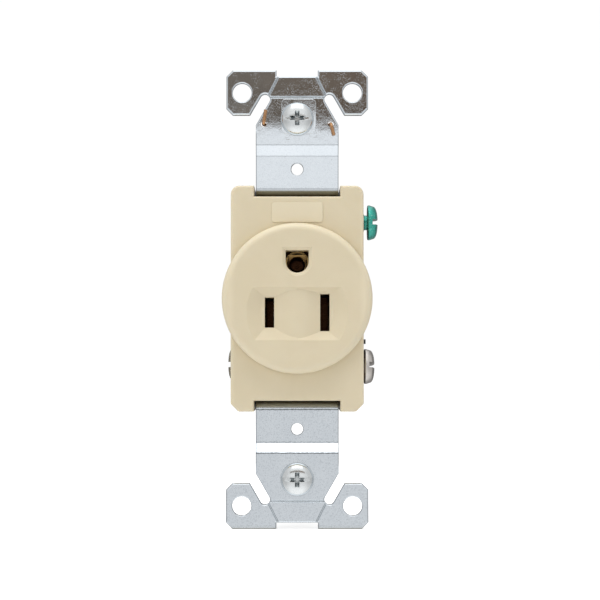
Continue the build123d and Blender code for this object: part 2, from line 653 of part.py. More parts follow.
def mounting_screw(end, head_seat):
    """6-32 screw through one end of the strap, held captive by its neck, head to the front."""
    outline = pan_head(MOUNT_HEAD_RADIUS, MOUNT_HEAD_HEIGHT)
    neck_length = head_seat + MOUNT_NECK_END
    outline += necked_shank(MOUNT_NECK_RADIUS, neck_length, MOUNT_SHANK_RADIUS, MOUNT_LENGTH)
    cross = [(CROSS_SPAN, CROSS_WIDTH, 0), (CROSS_SPAN, CROSS_WIDTH, 90)]
    return turned_piece(outline, (0, -head_seat, end * MOUNT_SCREW_Z), (0, -1, 0), cross, CROSS_DEPTH)


def terminal_screw(side, head_x, z):
    """8-32 screw in a terminal plate, head to the side."""
    outline = pan_head(TERMINAL_HEAD_RADIUS, TERMINAL_HEAD_HEIGHT)
    outline += necked_shank(TERMINAL_NECK_RADIUS, NECK_LENGTH, SCREW_RADIUS, TERMINAL_LENGTH)
    slot = [(2 * TERMINAL_HEAD_RADIUS + 1, DRIVER_SLOT_WIDTH, 90)]
    return turned_piece(outline, (side * head_x, -TERMINAL_HEIGHT, z), (side, 0, 0), slot, SLOT_DEPTH)


def assembly_screw(end):
    """Screw from the rear of the strap through the back body into the face cover."""
    outline = pan_head(ASSEMBLY_HEAD_RADIUS, ASSEMBLY_HEAD_HEIGHT)
    outline += plain_shank(ASSEMBLY_SHANK, ASSEMBLY_LENGTH)
    cross = [(CROSS_SPAN, CROSS_WIDTH, 0), (CROSS_SPAN, CROSS_WIDTH, 90)]
    strap_rear = -BODY_REAR + STRAP_THICKNESS
    return turned_piece(outline, (0, strap_rear, end * ASSEMBLY_SCREW_Z), (0, 1, 0), cross, CROSS_DEPTH)


pad_rise = MOUNT_HEAD_RADIUS * math.tan(math.radians(PAD_TILT))
upper_mounting_screw = mounting_screw(1, STRAP_THICKNESS + PAD_HEIGHT + pad_rise)
lower_mounting_screw = mounting_screw(-1, STRAP_THICKNESS)
hot_terminal_screw = terminal_screw(-1, HOT_HEAD_X, LINE_TERMINAL_Z[-1])
neutral_terminal_screw = terminal_screw(1, NEUTRAL_HEAD_X, LINE_TERMINAL_Z[1])
ground_terminal_screw = terminal_screw(1, GROUND_HEAD_X, GROUND_TERMINAL_Z)
upper_assembly_screw = assembly_screw(1)
lower_assembly_screw = assembly_screw(-1)

# rivet: a formed head on the strap's rear face and a flat one on the contact's base
RIVET_HEAD = (2.6, 1.0)      # radius, height
RIVET_FOOT = (2.3, 0.9)
rivet_grip = STRAP_THICKNESS + BRASS
ground_rivet = turned_piece(
    pan_head(*RIVET_HEAD) + [
        (RIVET_RADIUS, 0), (RIVET_RADIUS, -rivet_grip), (RIVET_FOOT[0], -rivet_grip),
        (RIVET_FOOT[0], -rivet_grip - RIVET_FOOT[1]), (0, -rivet_grip - RIVET_FOOT[1]),
    ],
    (0, -BODY_REAR + STRAP_THICKNESS, GROUND_Z), (0, 1, 0),
)


# ---- retainers and grounding wire --------------------------------------------------------------
RETAINER_SIZE = 9.4
RETAINER_CORNER = 1.2
RETAINER_THICKNESS = 0.9
RETAINER_FRONT = -3.9        # height of the front face, with the screw pushed home
WIRE_RADIUS = 0.4
WIRE_BEND = 0.7
WIRE_DIP_Z = 39.45           # the wire passes just under the screw
WIRE_TOUCH = 0.02


def screw_retainer(end):
    """Square fibre washer around the neck of the screw, behind the strap."""
    with BuildPart() as retainer:
        with BuildSketch(facing(RETAINER_FRONT)):
            with Locations((0, end * MOUNT_SCREW_Z)):
                RectangleRounded(RETAINER_SIZE, RETAINER_SIZE, RETAINER_CORNER)
                Circle(MOUNT_NECK_RADIUS + RUNNING, mode=Mode.SUBTRACT)
        extrude(amount=-RETAINER_THICKNESS)
    return retainer


upper_screw_retainer = screw_retainer(1)
lower_screw_retainer = screw_retainer(-1)

with BuildPart() as self_ground_clip:
    front_y = -STRAP_THICKNESS - WIRE_RADIUS - WIRE_TOUCH
    rear_y = WIRE_RADIUS + WIRE_TOUCH
    with BuildLine() as wire_path:
        FilletPolyline(
            (-7.3, front_y, 43.8), (-CLIP_HOLE_X, front_y, CLIP_HOLE_Z),
            (-CLIP_HOLE_X, rear_y, CLIP_HOLE_Z), (-2.5, rear_y, WIRE_DIP_Z), (2.5, rear_y, WIRE_DIP_Z),
            (CLIP_HOLE_X, rear_y, CLIP_HOLE_Z), (CLIP_HOLE_X, front_y, CLIP_HOLE_Z),
            (8.5, front_y, 37.9),
            radius=WIRE_BEND,
        )
    with BuildSketch(Plane(origin=wire_path.line @ 0, z_dir=wire_path.line % 0)):
        Circle(WIRE_RADIUS)
    sweep()


# ---- export ------------------------------------------------------------------------------------
pieces = {
    "face_cover": face_cover,
    "back_body": back_body,
    "mounting_strap": mounting_strap,
    "hot_contact": hot_contact,
    "neutral_contact": neutral_contact,
    "ground_contact": ground_contact,
    "hot_terminal_screw": hot_terminal_screw,
    "neutral_terminal_screw": neutral_terminal_screw,
    "ground_terminal_screw": ground_terminal_screw,
    "upper_mounting_screw": upper_mounting_screw,
    "lower_mounting_screw": lower_mounting_screw,
    "upper_screw_retainer": upper_screw_retainer,
    "lower_screw_retainer": lower_screw_retainer,
    "self_ground_clip": self_ground_clip,
    "upper_assembly_screw": upper_assembly_screw,
    "lower_assembly_screw": lower_assembly_screw,
    "ground_rivet": ground_rivet,
}
for name, piece in pieces.items():
    piece.part.label = name
    export_step(piece.part, f"parts/{name}.step")
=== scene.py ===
"""Looks for the single wall outlet: materials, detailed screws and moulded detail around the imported
CAD part. Metres, in the CAD frame: +Z up, -Y towards the user, +X to the user's right."""
import json
import math

import bmesh
import bpy
from mathutils import Matrix, Vector


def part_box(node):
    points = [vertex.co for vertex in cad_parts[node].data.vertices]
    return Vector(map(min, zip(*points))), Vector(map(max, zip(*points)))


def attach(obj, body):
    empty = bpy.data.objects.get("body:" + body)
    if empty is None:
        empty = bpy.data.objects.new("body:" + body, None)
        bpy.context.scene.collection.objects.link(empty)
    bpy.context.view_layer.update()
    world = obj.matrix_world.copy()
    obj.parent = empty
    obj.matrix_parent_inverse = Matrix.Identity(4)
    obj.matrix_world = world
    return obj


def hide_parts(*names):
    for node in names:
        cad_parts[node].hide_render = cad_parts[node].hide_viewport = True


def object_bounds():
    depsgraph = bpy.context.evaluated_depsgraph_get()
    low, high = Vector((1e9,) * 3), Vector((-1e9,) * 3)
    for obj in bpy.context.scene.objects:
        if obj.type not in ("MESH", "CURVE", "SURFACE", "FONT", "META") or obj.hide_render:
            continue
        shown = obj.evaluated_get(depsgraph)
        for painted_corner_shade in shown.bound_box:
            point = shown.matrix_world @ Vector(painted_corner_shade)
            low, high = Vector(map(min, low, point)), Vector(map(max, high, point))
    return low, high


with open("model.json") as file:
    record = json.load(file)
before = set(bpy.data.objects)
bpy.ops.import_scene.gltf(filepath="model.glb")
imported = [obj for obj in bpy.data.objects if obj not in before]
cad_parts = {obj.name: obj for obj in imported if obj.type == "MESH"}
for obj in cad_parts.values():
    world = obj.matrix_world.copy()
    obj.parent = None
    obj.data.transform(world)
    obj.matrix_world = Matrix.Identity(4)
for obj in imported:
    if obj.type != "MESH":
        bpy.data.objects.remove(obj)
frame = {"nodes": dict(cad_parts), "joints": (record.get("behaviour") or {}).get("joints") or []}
cad_low, cad_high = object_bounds()

MM = 0.001
NODES = frame["nodes"]
SCREW_PLACES = {joint["child"]: joint["pos_m"] for joint in frame["joints"] if joint["type"] == "hinge"}

FACE_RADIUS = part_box("face_cover")[1][0]
BODY_HALF_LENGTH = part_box("face_cover")[1][2]
BODY_HALF_WIDTH = -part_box("back_body")[0][0]
SHOULDER_Y = -3.3 * MM       # front of the rectangular shoulder behind the round face
STRAP_HALF_WIDTH = 9.6 * MM
STRAP_LEG_Z = 25.0 * MM      # outer face of the strap's legs
JOG_START_Z = 33.25 * MM     # the strap steps forward between these two bends
JOG_END_Z = 35.65 * MM
EARS_START_Z = 38 * MM       # the flat end plates start here
PLATE_SCREW_Z = 30.16 * MM
ASSEMBLY_SCREW_Z = 20.3 * MM
REAR_Y = 24.3 * MM           # back of the strap's rear run
PIN_Z = 8.05 * MM            # middle of the socket seen through the ground hole
SOCKET_Y = 5.3 * MM          # back of that socket's front plate
LINE_SHADE_Z = 2.2 * MM      # brass below this is dark behind the blade slots
LIT_BRASS_X = 11.4 * MM      # brass further out than this is in the light
LIT_BRASS_Y = 22.5 * MM      # and so is brass further back than this


# ---- node graphs ---------------------------------------------------------------------------------
class Graph:
    """Short helpers for a node tree."""

    def __init__(self, tree):
        self.nodes = tree.nodes
        self.links = tree.links

    def node(self, kind, **settings):
        made = self.nodes.new(kind)
        for key, value in settings.items():
            setattr(made, key, value)
        return made

    def feed(self, socket, value):
        if isinstance(value, bpy.types.NodeSocket):
            self.links.new(value, socket)
        else:
            socket.default_value = value

    def spread(self, value, low, high, to_low=0.0, to_high=1.0):
        """Remaps low..high to to_low..to_high and clamps."""
        made = self.node("ShaderNodeMapRange")
        self.feed(made.inputs["Value"], value)
        for key, number in (
            ("From Min", low), ("From Max", high), ("To Min", to_low), ("To Max", to_high),
        ):
            made.inputs[key].default_value = number
        return made.outputs["Result"]

    def size(self, value):
        """The value without its sign."""
        return self.maths("ABSOLUTE", value, 0.0)

    def maths(self, operation, first, second):
        made = self.node("ShaderNodeMath", operation=operation)
        self.feed(made.inputs[0], first)
        self.feed(made.inputs[1], second)
        return made.outputs[0]

    def mix(self, factor, first, second, blend="MIX"):
        made = self.node("ShaderNodeMix", data_type="RGBA", blend_type=blend)
        self.feed(made.inputs[0], factor)
        self.feed(made.inputs[6], (*first, 1) if isinstance(first, tuple) else first)
        self.feed(made.inputs[7], (*second, 1) if isinstance(second, tuple) else second)
        return made.outputs[2]

    def axes(self, vector):
        """The X, Y and Z outputs of a vector."""
        made = self.node("ShaderNodeSeparateXYZ")
        self.feed(made.inputs[0], vector)
        return made.outputs["X"], made.outputs["Y"], made.outputs["Z"]


class Surface(Graph):
    """A Principled material. Scales are per metre."""

    def __init__(self, name, metallic=0.0, **inputs):
        self.material = bpy.data.materials.new(name)
        self.material.use_nodes = True
        super().__init__(self.material.node_tree)
        self.bsdf = self.nodes["Principled BSDF"]
        self.bsdf.inputs["Metallic"].default_value = metallic
        for key, value in inputs.items():
            self.bsdf.inputs[key.replace("_", " ")].default_value = value
        self.place = self.node("ShaderNodeTexCoord").outputs["Object"]

    def stretched(self, scale, turn=(0, 0, 0)):
        """Object coordinates scaled along each axis, for streaks."""
        mapping = self.node("ShaderNodeMapping")
        self.feed(mapping.inputs["Vector"], self.place)
        mapping.inputs["Scale"].default_value = scale
        mapping.inputs["Rotation"].default_value = turn
        return mapping.outputs["Vector"]

    def noise(self, scale, detail=4.0, rough=0.55, vector=None, warp=0.0):
        made = self.node("ShaderNodeTexNoise")
        self.feed(made.inputs["Vector"], vector or self.place)
        made.inputs["Scale"].default_value = scale
        made.inputs["Detail"].default_value = detail
        made.inputs["Roughness"].default_value = rough
        made.inputs["Distortion"].default_value = warp
        return made.outputs["Fac"]

    def cells(self, scale):
        """Distance to the nearest of scattered points."""
        made = self.node("ShaderNodeTexVoronoi", feature="F1")
        self.feed(made.inputs["Vector"], self.place)
        made.inputs["Scale"].default_value = scale
        return made.outputs["Distance"]

    def soft_edges(self, radius):
        """Normal with edges rounded by a radius in metres."""
        made = self.node("ShaderNodeBevel", samples=6)
        made.inputs["Radius"].default_value = radius
        return made.outputs["Normal"]

    def edge_mask(self, radius):
        """0 on open surface, rising to 1 near an edge."""
        dot = self.node("ShaderNodeVectorMath", operation="DOT_PRODUCT")
        self.feed(dot.inputs[0], self.soft_edges(radius))
        self.feed(dot.inputs[1], self.node("ShaderNodeNewGeometry").outputs["Normal"])
        return self.spread(dot.outputs["Value"], 1.0, 0.86)

    def crevices(self, distance):
        """1 in the open, falling to 0 in corners closer than the distance."""
        made = self.node("ShaderNodeAmbientOcclusion", samples=6)
        made.inputs["Distance"].default_value = distance
        return made.outputs["AO"]

    def bump(self, height, distance, normal=None):
        made = self.node("ShaderNodeBump")
        self.feed(made.inputs["Height"], height)
        made.inputs["Distance"].default_value = distance
        made.inputs["Strength"].default_value = 1.0
        if normal is not None:
            self.feed(made.inputs["Normal"], normal)
        return made.outputs["Normal"]

    def finish(self, color, roughness, normal):
        self.feed(self.bsdf.inputs["Base Color"], color)
        self.feed(self.bsdf.inputs["Roughness"], roughness)
        self.feed(self.bsdf.inputs["Normal"], normal)
        return self.material


# ---- materials -----------------------------------------------------------------------------------
def ivory_nylon():
    """Satin moulded nylon: flow mottling, fine grain, painted shade in the corners, paler rubbed edges, and
    painted light near the thin rim, sides and ends.
    """
    s = Surface("ivory_nylon", IOR=1.5)
    s.bsdf.inputs["Subsurface Weight"].default_value = 0.12
    s.bsdf.inputs["Subsurface Radius"].default_value = (1.0, 0.7, 0.4)
    s.bsdf.inputs["Subsurface Scale"].default_value = 0.6 * MM
    flow = s.noise(110, 3, 0.5, warp=0.8)
    speck = s.spread(s.noise(5200, 2, 0.5), 0.62, 0.74, 0.0, 0.10)
    color = s.mix(flow, (0.70, 0.605, 0.42), (0.765, 0.675, 0.49))
    color = s.mix(speck, color, (0.50, 0.40, 0.26))
    # painted shade in the corners
    painted_corner_shade = s.spread(s.crevices(1.4 * MM), 0.72, 0.15, 0.0, 0.55)
    color = s.mix(painted_corner_shade, color, (0.33, 0.25, 0.15))
    rubbed = s.maths("MULTIPLY", s.edge_mask(0.25 * MM), s.spread(s.noise(700), 0.35, 0.65, 0.0, 0.35))
    color = s.mix(rubbed, color, (0.84, 0.76, 0.60))
    # painted light near the face's rim and the shoulder's sides and ends
    color = s.mix(painted_light_at_thin_walls(s), color, (0.84, 0.755, 0.565))
    rough = s.spread(s.noise(420, 5, 0.6), 0.3, 0.7, 0.33, 0.47)
    scuffs = s.noise(160, 6, 0.7, s.stretched((1, 1, 26), (0, 0.5, 0)))
    rough = s.maths("ADD", rough, s.spread(scuffs, 0.60, 0.72, 0.0, 0.10))
    normal = s.bump(s.noise(180, 2, 0.4), 0.05 * MM, s.soft_edges(0.12 * MM))
    normal = s.bump(s.noise(9000, 2, 0.5), 0.006 * MM, normal)
    return s.finish(color, rough, normal)


def painted_light_at_thin_walls(s):
    """Amount of painted light, standing in for light that comes through near the face's rim and the
    shoulder's sides and ends.
    """
    x, y, z = s.axes(s.place)
    from_centre = s.node("ShaderNodeVectorMath", operation="LENGTH")
    s.feed(from_centre.inputs[0], s.stretched((1, 0, 1)))
    rim = s.spread(from_centre.outputs["Value"], FACE_RADIUS - 1.8 * MM, FACE_RADIUS - 0.6 * MM, 0.0, 0.5)
    rim = s.maths("MULTIPLY", rim, s.maths("LESS_THAN", y, SHOULDER_Y - 0.1 * MM))
    side = s.spread(s.size(x), BODY_HALF_WIDTH - 1.2 * MM, BODY_HALF_WIDTH - 0.1 * MM, 0.0, 0.35)
    end = s.spread(s.size(z), BODY_HALF_LENGTH - 1.0 * MM, BODY_HALF_LENGTH, 0.0, 0.25)
    return s.maths("MAXIMUM", rim, s.maths("MAXIMUM", side, end))


def dark_plastic():
    """Matte black moulding: fine grain, grey handling marks and dust, lighter worn edges."""
    s = Surface("dark_plastic", IOR=1.52)
    cloud = s.noise(160, 5, 0.6)
    dust = s.spread(s.noise(900, 6, 0.7), 0.52, 0.75, 0.0, 0.16)
    color = s.mix(cloud, (0.020, 0.021, 0.023), (0.036, 0.036, 0.039))
    color = s.mix(dust, color, (0.15, 0.14, 0.13))
    worn = s.maths("MULTIPLY", s.edge_mask(0.3 * MM), s.spread(s.noise(1100), 0.4, 0.6, 0.0, 0.6))
    color = s.mix(worn, color, (0.15, 0.15, 0.155))
    streaks = s.noise(240, 6, 0.7, s.stretched((1, 18, 1)))
    rough = s.spread(streaks, 0.3, 0.7, 0.38, 0.62)
    normal = s.bump(s.noise(200, 2), 0.06 * MM, s.soft_edges(0.2 * MM))
    normal = s.bump(s.noise(7000, 3, 0.6), 0.014 * MM, normal)
    return s.finish(color, rough, normal)


# distance of each front bend from the middle of the strap, and the strength of its painted dark reflection
PAINTED_BEND_REFLECTIONS = ((STRAP_LEG_Z + 0.65 * MM, 0.9), (JOG_START_Z, 0.6), (JOG_END_Z, 0.9))


def painted_bend_reflections(s, z):
    """Painted dark reflections: ragged dark lines along the strap's bends, stronger on the lower half."""
    wobble = s.spread(s.noise(1500, 4, 0.7), 0.3, 0.7, -0.10 * MM, 0.10 * MM)
    along = s.maths("ADD", s.size(z), wobble)
    lines = 0.0
    for place, strength in PAINTED_BEND_REFLECTIONS:
        gap = s.size(s.maths("SUBTRACT", along, place))
        lines = s.maths("MAXIMUM", s.spread(gap, 0.06 * MM, 0.19 * MM, strength, 0.0), lines)
    return s.maths("MULTIPLY", lines, lower_to_upper(s, z, 1.0, 0.3))


def lower_to_upper(s, z, lower, upper):
    """One number on the strap's lower half and another on its upper half."""
    return s.spread(z, -1 * MM, 1 * MM, lower, upper)


def zinc_steel():
    """Bright zinc plate on stamped strip: fine speckle, pits in patches, tumbling marks, painted glints,
    painted dark reflections along the bends, painted shade by the body and in the corners, and a faint
    painted highlight on the edges.
    """
    s = Surface("zinc_steel", metallic=1.0)
    x, y, z = s.axes(s.place)
    along = s.size(z)
    color = s.mix(s.noise(220, 4, 0.55), (0.74, 0.795, 0.845), (0.82, 0.87, 0.915))
    speckle = s.spread(s.noise(3400, 4, 0.75), 0.50, 0.66)
    speckle = s.maths("MULTIPLY", speckle, lower_to_upper(s, z, 0.45, 0.20))
    color = s.mix(speckle, color, (0.40, 0.44, 0.49))
    # sparse painted glints
    color = s.mix(s.spread(s.noise(4600, 3, 0.7), 0.60, 0.68, 0.0, 0.5), color, (0.95, 0.97, 0.99))
    # painted dark reflections along the bends
    color = s.mix(painted_bend_reflections(s, z), color, (0.10, 0.11, 0.12))
    # painted shade on the strap's bends next to the body
    painted_shade_by_body = s.spread(along, STRAP_LEG_Z + 0.45 * MM, STRAP_LEG_Z - 0.05 * MM)
    painted_shade_by_body = s.maths("MULTIPLY", painted_shade_by_body, s.spread(y, 2.2 * MM, 1.6 * MM))
    painted_shade_by_body = s.maths("MULTIPLY", painted_shade_by_body, lower_to_upper(s, z, 0.55, 0.85))
    color = s.mix(painted_shade_by_body, color, (0.13, 0.125, 0.085))
    sheared = s.spread(s.size(x), STRAP_HALF_WIDTH - 0.24 * MM, STRAP_HALF_WIDTH - 0.10 * MM, 0.0, 0.75)
    sheared = s.maths("MULTIPLY", sheared, s.spread(along, EARS_START_Z + 1 * MM, EARS_START_Z))
    color = s.mix(sheared, color, (0.16, 0.17, 0.18))
    # painted shade in the corners, round the screw heads and by the body
    color = s.mix(s.spread(s.crevices(2.2 * MM), 0.66, 0.20, 0.0, 0.88), color, (0.14, 0.13, 0.09))
    # faint painted highlight on the edges
    color = s.mix(s.maths("MULTIPLY", s.edge_mask(0.14 * MM), 0.12), color, (0.92, 0.94, 0.97))
    rough = s.spread(s.noise(900, 5, 0.65), 0.3, 0.7, 0.02, 0.075)
    scratch = s.spread(s.noise(500, 7, 0.75, s.stretched((1, 1, 9), (0, 0.9, 0))), 0.63, 0.70)
    rough = s.maths("ADD", rough, s.maths("MULTIPLY", scratch, 0.10))
    patches = s.spread(s.noise(330, 3, 0.6), 0.42, 0.60)
    patches = s.maths("MULTIPLY", patches, s.spread(along, EARS_START_Z, EARS_START_Z + 4 * MM, 0.12, 1.0))
    patches = s.maths("MULTIPLY", patches, s.spread(x, -8 * MM, 10 * MM, 0.4, 1.0))
    pits = s.maths("MULTIPLY", s.spread(s.cells(4000), 0.28, 0.0), patches)
    normal = s.bump(s.noise(150, 2), 0.018 * MM, s.soft_edges(0.15 * MM))
    normal = s.bump(s.noise(6000, 3, 0.6), 0.0010 * MM, normal)
    normal = s.bump(s.noise(2200, 4, 0.6), 0.0016 * MM, normal)
    normal = s.bump(pits, -0.013 * MM, normal)
    normal = s.bump(scratch, 0.0015 * MM, normal)
    return s.finish(color, rough, normal)


def plated_screw(name, low, high, shade, roughness):
    """Plated screw metal: cloudy colour, turning marks, painted shade in the recesses and bright edges."""
    s = Surface(name, metallic=1.0)
    color = s.mix(s.noise(900, 4, 0.6), low, high)
    color = s.mix(s.spread(s.noise(1700, 6, 0.7), 0.54, 0.72, 0.0, 0.30), color, shade)
    # painted shade in the recesses
    painted_corner_shade = s.spread(s.crevices(1.0 * MM), 0.75, 0.2, 0.0, 0.85)
    color = s.mix(painted_corner_shade, color, tuple(0.30 * part for part in shade))
    bright = tuple(min(1.0, 1.15 * part) for part in high)
    color = s.mix(s.maths("MULTIPLY", s.edge_mask(0.12 * MM), 0.35), color, bright)
    rough = s.spread(s.noise(2600, 5, 0.65), 0.3, 0.7, roughness, roughness + 0.14)
    normal = s.bump(s.noise(1300, 4, 0.6), 0.006 * MM, s.soft_edges(0.10 * MM))
    normal = s.bump(s.noise(9000, 2), 0.0015 * MM, normal)
    return s.finish(color, rough, normal)


def green_screw():
    """Green dyed plate: clear lacquer over metal, thinner and paler on the edges, with painted shade in the
    recesses.
    """
    s = Surface("green_screw", metallic=0.75)
    s.bsdf.inputs["Coat Weight"].default_value = 0.6
    s.bsdf.inputs["Coat Roughness"].default_value = 0.12
    color = s.mix(s.noise(1100, 4, 0.6), (0.010, 0.31, 0.245), (0.055, 0.54, 0.44))
    color = s.mix(s.spread(s.noise(2600, 4, 0.7), 0.55, 0.66, 0.0, 0.6), color, (0.34, 0.80, 0.70))
    # painted shade in the recesses
    painted_recess_shade = s.spread(s.crevices(0.9 * MM), 0.7, 0.2, 0.0, 0.75)
    color = s.mix(painted_recess_shade, color, (0.01, 0.17, 0.13))
    thin = s.maths("MULTIPLY", s.edge_mask(0.16 * MM), s.spread(s.noise(1900), 0.35, 0.6, 0.0, 0.5))
    color = s.mix(thin, color, (0.38, 0.70, 0.62))
    rough = s.spread(s.noise(2200, 5), 0.3, 0.7, 0.20, 0.36)
    normal = s.bump(s.noise(1200, 3), 0.014 * MM, s.soft_edges(0.10 * MM))
    return s.finish(color, rough, normal)


def rolled_brass():
    """Rolled brass strip: rolling lines, brown tarnish clouds, painted light and shade round the ground
    socket, painted shade that makes it nearly black deep in the body, and painted shade in the corners.
    """
    s = Surface("contact_brass", metallic=1.0)
    color = s.mix(s.noise(500, 4), (0.58, 0.37, 0.13), (0.80, 0.56, 0.24))
    color = s.mix(s.spread(s.noise(800, 6, 0.7), 0.45, 0.72, 0.0, 0.6), color, (0.34, 0.17, 0.07))
    x, y, z = s.axes(s.place)
    inside = s.spread(s.size(x), LIT_BRASS_X, LIT_BRASS_X - 0.8 * MM)
    lip = s.maths("MULTIPLY", inside, s.maths("LESS_THAN", y, SOCKET_Y + 0.9 * MM))
    # painted shade on the left of the way into the ground socket and painted light on its right
    color = s.mix(lip, color, s.mix(s.spread(x, 0.8 * MM, 1.6 * MM), (0.10, 0.05, 0.02), (1.0, 0.72, 0.32)))
    # painted light and shade on the ground socket's front plate
    front = s.maths("MULTIPLY", inside, s.maths("LESS_THAN", y, SOCKET_Y - 0.01 * MM))
    color = s.mix(front, color, painted_socket_front(s, z))
    behind_slots = s.spread(z, LINE_SHADE_Z + 1.0 * MM, LINE_SHADE_Z)
    within = s.spread(y, LIT_BRASS_Y, LIT_BRASS_Y - 0.5 * MM)
    depth = s.maths("MULTIPLY", s.spread(y, SOCKET_Y + 1.0 * MM, SOCKET_Y + 2.3 * MM), within)
    shade = s.maths("MULTIPLY", inside, s.maths("MAXIMUM", behind_slots, depth))
    # painted shade deep in the body and behind the blade slots
    color = s.mix(s.maths("MULTIPLY", shade, 0.97), color, (0.030, 0.008, 0.005))
    # painted shade in the corners
    color = s.mix(s.spread(s.crevices(0.35 * MM), 0.7, 0.2, 0.0, 0.9), color, (0.06, 0.03, 0.015))
    lines = s.noise(500, 5, 0.7, s.stretched((1, 1, 20)))
    rough = s.spread(lines, 0.3, 0.7, 0.20, 0.38)
    normal = s.bump(lines, 0.006 * MM, s.soft_edges(0.12 * MM))
    return s.finish(color, rough, normal)


def painted_socket_front(s, z):
    """Painted light and shade on the socket's front plate: brown shade around the way into the ground
    socket, paler above it, with a painted highlight on its upper edge.
    """
    dull = s.mix(s.spread(z, PIN_Z + 0.6 * MM, PIN_Z + 2.0 * MM), (0.075, 0.032, 0.012), (0.36, 0.23, 0.085))
    return s.mix(s.spread(z, PIN_Z + 2.0 * MM, PIN_Z + 2.15 * MM), dull, (0.66, 0.43, 0.17))


def bronze_wire():
    """Drawn copper-bronze wire: long draw lines, darker oxide patches."""
    s = Surface("bronze_wire", metallic=1.0)
    color = s.mix(s.noise(700, 4), (0.56, 0.29, 0.14), (0.74, 0.44, 0.24))
    color = s.mix(s.spread(s.noise(1200, 5, 0.7), 0.5, 0.7, 0.0, 0.5), color, (0.25, 0.11, 0.05))
    lines = s.noise(2600, 4, 0.6, s.stretched((1, 1, 0.15)))
    rough = s.spread(lines, 0.3, 0.7, 0.24, 0.40)
    return s.finish(color, rough, s.bump(lines, 0.006 * MM))


def grey_fibre():
    """Pressed vulcanised fibre: flecked, fuzzy, darker cut edges."""
    s = Surface("grey_fibre")
    color = s.mix(s.noise(700, 5), (0.13, 0.115, 0.10), (0.22, 0.20, 0.18))
    fleck = s.noise(2400, 5, 0.7, s.stretched((1, 6, 2), (0, 0.6, 0)))
    color = s.mix(s.spread(fleck, 0.52, 0.66), color, (0.36, 0.33, 0.29))
    color = s.mix(s.maths("MULTIPLY", s.edge_mask(0.2 * MM), 0.5), color, (0.07, 0.06, 0.05))
    rough = s.spread(s.noise(1500), 0.3, 0.7, 0.70, 0.90)
    normal = s.bump(fleck, 0.03 * MM, s.soft_edges(0.15 * MM))
    return s.finish(color, rough, normal)


MATERIALS = {
    "ivory_nylon": ivory_nylon(),
    "dark_plastic": dark_plastic(),
    "zinc_steel": zinc_steel(),
    "contact_brass": rolled_brass(),
    "brass_screw": plated_screw(
        "brass_screw", (0.64, 0.57, 0.42), (0.80, 0.73, 0.57), (0.38, 0.30, 0.18), 0.18
    ),
    "nickel_screw": plated_screw(
        "nickel_screw", (0.62, 0.575, 0.53), (0.80, 0.77, 0.735), (0.34, 0.29, 0.26), 0.24
    ),
    "zinc_screw": plated_screw(
        "zinc_screw", (0.76, 0.79, 0.80), (0.87, 0.90, 0.91), (0.42, 0.50, 0.53), 0.08
    ),
    "green_screw": green_screw(),
    "bronze_wire": bronze_wire(),
    "grey_fibre": grey_fibre(),
}


def dress(thing, material):
    thing.data.materials.clear()
    thing.data.materials.append(MATERIALS[material])


# ---- mesh helpers --------------------------------------------------------------------------------
def mesh_from(bm, name):
    mesh_data = bpy.data.meshes.new(name)
    bm.to_mesh(mesh_data)
    bm.free()
    return mesh_data


def linked(name, data):
    """A new object in the scene."""
    thing = bpy.data.objects.new(name, data)
    bpy.context.scene.collection.objects.link(thing)
    return thing


def smooth(mesh_data):
    mesh_data.shade_smooth()
    mesh_data.set_sharp_from_angle(angle=math.radians(35))


def turned_mesh(name, rows, segments=96, closed_loop=False):
    """Surface of rings about Z. Each row is (distance along Z, radius as a number or function of angle).

    Its two ends are capped, or joined to each other when the rows run around a closed loop."""
    bm = bmesh.new()
    rings = []
    for along, radius in rows:
        ring = []
        for step in range(segments):
            angle = 2 * math.pi * step / segments
            r = radius(angle) if callable(radius) else radius
            ring.append(bm.verts.new((r * math.cos(angle), r * math.sin(angle), along)))
        rings.append(ring)
    following = rings[1:] + rings[:1] if closed_loop else rings[1:]
    for low, high in zip(rings, following):
        for step in range(segments):
            after = (step + 1) % segments
            bm.faces.new((low[step], low[after], high[after], high[step]))
    if not closed_loop:
        bm.faces.new(list(reversed(rings[0])))
        bm.faces.new(rings[-1])
    return mesh_from(bm, name)


def prism(name, corners, low, high, taper=1.0):
    """Closed prism over 2-D corners, its lower end scaled by the taper."""
    bm = bmesh.new()
    bottom = [bm.verts.new((x * taper, y * taper, low)) for x, y in corners]
    top = [bm.verts.new((x, y, high)) for x, y in corners]
    count = len(corners)
    for i in range(count):
        j = (i + 1) % count
        bm.faces.new((bottom[i], bottom[j], top[j], top[i]))
    bm.faces.new(list(reversed(bottom)))
    bm.faces.new(top)
    return linked(name, mesh_from(bm, name))


def rectangle(length, width):
    a, b = length / 2, width / 2
    return [(-a, -b), (a, -b), (a, b), (-a, b)]


def circle(radius, count=48):
    turns = [2 * math.pi * i / count for i in range(count)]
    return [(radius * math.cos(turn), radius * math.sin(turn)) for turn in turns]


def carve(target, cutters):
    """Cuts each cutter out of the target and removes it."""
    for cutter in cutters:
        cut = target.modifiers.new("cut", "BOOLEAN")
        cut.operation = "DIFFERENCE"
        cut.solver = "EXACT"
        cut.object = cutter
    depsgraph = bpy.context.evaluated_depsgraph_get()
    result = bpy.data.meshes.new_from_object(target.evaluated_get(depsgraph))
    target.modifiers.clear()
    target.data = result
    for cutter in cutters:
        bpy.data.objects.remove(cutter)
    smooth(result)


def aim(origin, axis, turn=0.0):
    """Matrix that takes +Z to an axis at a point, after a turn about it in degrees."""
    across = Vector((0, 0, 1)) if abs(axis[2]) < 0.9 else Vector((1, 0, 0))
    z = Vector(axis).normalized()
    y = z.cross(across).normalized()
    x = y.cross(z)
    basis = Matrix((x, y, z)).transposed().to_4x4()
    return Matrix.Translation(origin) @ basis @ Matrix.Rotation(math.radians(turn), 4, "Z")


